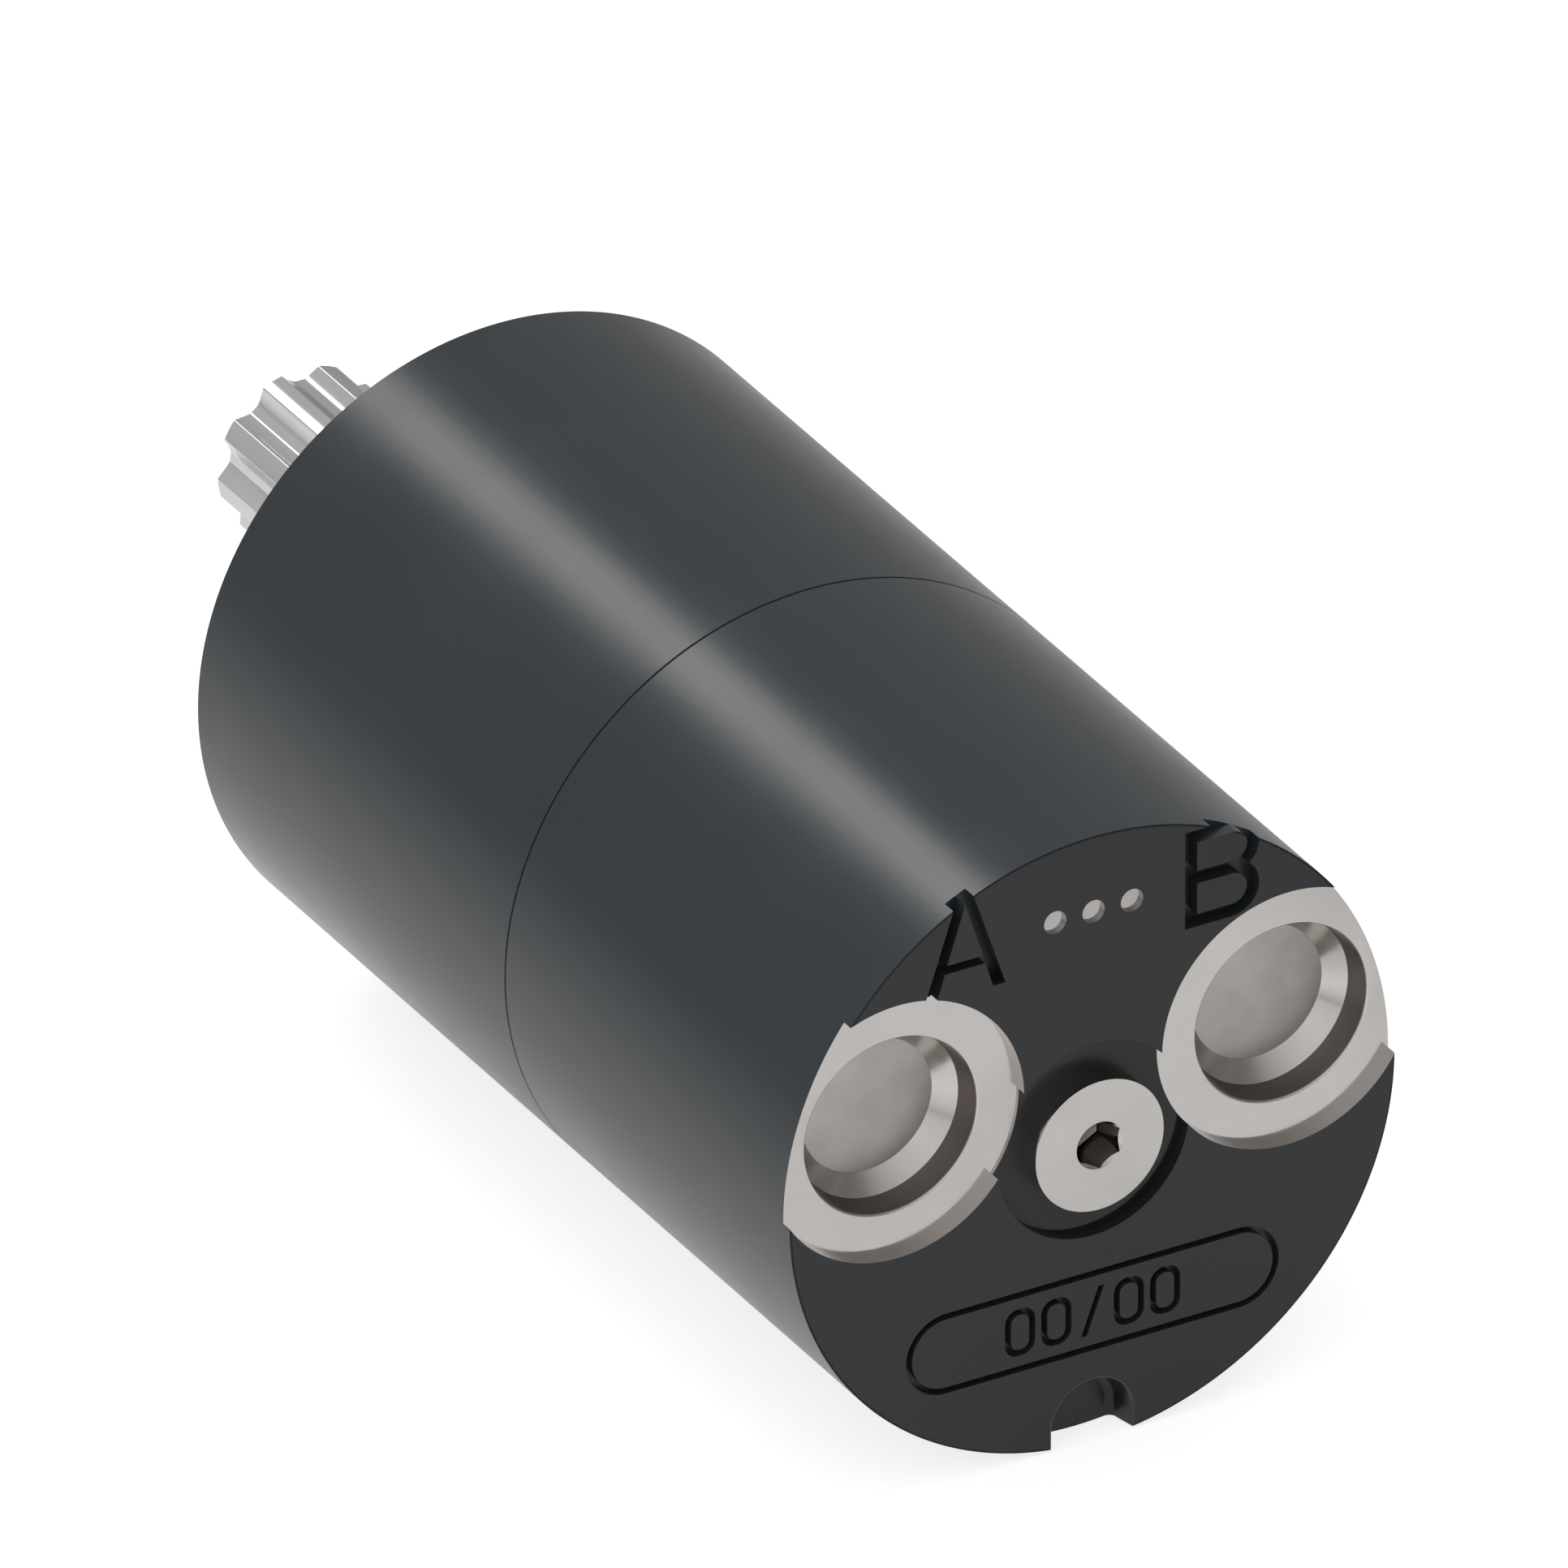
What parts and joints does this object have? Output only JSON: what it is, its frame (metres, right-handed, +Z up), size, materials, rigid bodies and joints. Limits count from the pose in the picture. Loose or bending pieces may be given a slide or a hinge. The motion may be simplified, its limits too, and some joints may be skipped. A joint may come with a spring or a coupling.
{
  "type": "hydraulic orbital motor",
  "caption": "Cylindrical low-speed hydraulic motor with splined output shaft, round pilot flange face and two threaded oil ports in its rear face.",
  "frame": {"origin": "centre of the front mounting face, on the shaft axis", "axes": "+Y along the shaft towards its splined end, +Z up on the side of the three marks in the rear face, port A on -X and port B on +X"},
  "size_m": [0.06, 0.1386, 0.06],
  "materials": {
    "housing_paint": "satin dark slate paint",
    "plug_steel": "zinc plated",
    "shaft_steel": "ground and polished",
    "ground_steel": "ground",
    "gear_steel": "hardened and ground",
    "plate_steel": "lapped",
    "spring_steel": "oiled",
    "seal_rubber": "matte",
    "seal_plastic": "white"
  },
  "bodies": {
    "housing": {"front_housing": "housing_paint", "port_housing": "housing_paint", "drain_plug": "plug_steel", "plug_o_ring": "seal_rubber", "dust_seal": "seal_rubber", "shaft_seal": "seal_rubber", "seal_backup_ring": "seal_plastic", "needle_bearing_shell": "ground_steel", "thrust_washer_front": "ground_steel", "channel_plate": "plate_steel", "gear_ring": "gear_steel", "end_plate": "plate_steel", "dowel_pins": "ground_steel", "housing_o_ring": "seal_rubber", "passage_o_rings": "seal_rubber", "check_valve_seats": "ground_steel", "check_spring_a": "spring_steel", "check_spring_b": "spring_steel"},
    "shaft": {"output_shaft": "shaft_steel", "thrust_washer_rear": "ground_steel"},
    "needle_set": {"needle_bearing_cage": "spring_steel", "needle_rollers": "ground_steel"},
    "thrust_set": {"thrust_cage": "spring_steel", "thrust_rollers": "ground_steel"},
    "spacer": {"drive_spacer": "ground_steel"},
    "rotor": {"rotor": "gear_steel"},
    "drive_link": {"drive_link": "ground_steel"},
    "roller_1": {"roller_1": "ground_steel"},
    "roller_2": {"roller_2": "ground_steel"},
    "roller_3": {"roller_3": "ground_steel"},
    "roller_4": {"roller_4": "ground_steel"},
    "roller_5": {"roller_5": "ground_steel"},
    "roller_6": {"roller_6": "ground_steel"},
    "roller_7": {"roller_7": "ground_steel"},
    "check_ball_a": {"check_ball_a": "ground_steel"},
    "check_ball_b": {"check_ball_b": "ground_steel"}
  },
  "joints": [
    {"name": "shaft_spin", "type": "hinge", "parent": "housing", "child": "shaft", "pos_m": [0, 0, 0], "axis": [0, 1, 0], "continuous": true},
    {"name": "needle_cage_spin", "type": "hinge", "parent": "housing", "child": "needle_set", "pos_m": [0, -0.019, 0], "axis": [0, 1, 0], "continuous": true},
    {"name": "thrust_cage_spin", "type": "hinge", "parent": "housing", "child": "thrust_set", "pos_m": [0, -0.029, 0], "axis": [0, 1, 0], "continuous": true},
    {"name": "rotor_orbit", "type": "hinge", "parent": "housing", "child": "spacer", "pos_m": [0, -0.072, 0], "axis": [0, 1, 0], "continuous": true},
    {"name": "rotor_spin", "type": "hinge", "parent": "spacer", "child": "rotor", "pos_m": [0, -0.072, 0.00145], "axis": [0, 1, 0], "continuous": true},
    {"name": "link_spin", "type": "hinge", "parent": "spacer", "child": "drive_link", "pos_m": [0, -0.0455, 0], "axis": [0, 0.9984, -0.0568], "continuous": true},
    {"name": "roller_1_spin", "type": "hinge", "parent": "housing", "child": "roller_1", "pos_m": [0.0059, -0.072, 0.01225], "axis": [0, 1, 0], "continuous": true},
    {"name": "roller_2_spin", "type": "hinge", "parent": "housing", "child": "roller_2", "pos_m": [-0.0059, -0.072, 0.01225], "axis": [0, 1, 0], "continuous": true},
    {"name": "roller_3_spin", "type": "hinge", "parent": "housing", "child": "roller_3", "pos_m": [-0.01326, -0.072, 0.00303], "axis": [0, 1, 0], "continuous": true},
    {"name": "roller_4_spin", "type": "hinge", "parent": "housing", "child": "roller_4", "pos_m": [-0.01063, -0.072, -0.00848], "axis": [0, 1, 0], "continuous": true},
    {"name": "roller_5_spin", "type": "hinge", "parent": "housing", "child": "roller_5", "pos_m": [0, -0.072, -0.0136], "axis": [0, 1, 0], "continuous": true},
    {"name": "roller_6_spin", "type": "hinge", "parent": "housing", "child": "roller_6", "pos_m": [0.01063, -0.072, -0.00848], "axis": [0, 1, 0], "continuous": true},
    {"name": "roller_7_spin", "type": "hinge", "parent": "housing", "child": "roller_7", "pos_m": [0.01326, -0.072, 0.00303], "axis": [0, 1, 0], "continuous": true},
    {"name": "check_ball_a_lift", "type": "slide", "parent": "housing", "child": "check_ball_a", "axis": [0, -1, 0], "range_m": [0, 0.0008], "stiffness_N_per_m": 60, "springref_m": -0.0006, "deforming": ["check_spring_a"]},
    {"name": "check_ball_b_lift", "type": "slide", "parent": "housing", "child": "check_ball_b", "axis": [0, -1, 0], "range_m": [0, 0.0008], "stiffness_N_per_m": 60, "springref_m": -0.0006, "deforming": ["check_spring_b"]}
  ],
  "couplings": [
    {"joint": "needle_cage_spin", "follows": "shaft_spin", "ratio": 0.44955},
    {"joint": "thrust_cage_spin", "follows": "shaft_spin", "ratio": 0.5},
    {"joint": "rotor_orbit", "follows": "shaft_spin", "ratio": -6},
    {"joint": "rotor_spin", "follows": "shaft_spin", "ratio": 7},
    {"joint": "link_spin", "follows": "shaft_spin", "ratio": 7}
  ]
}
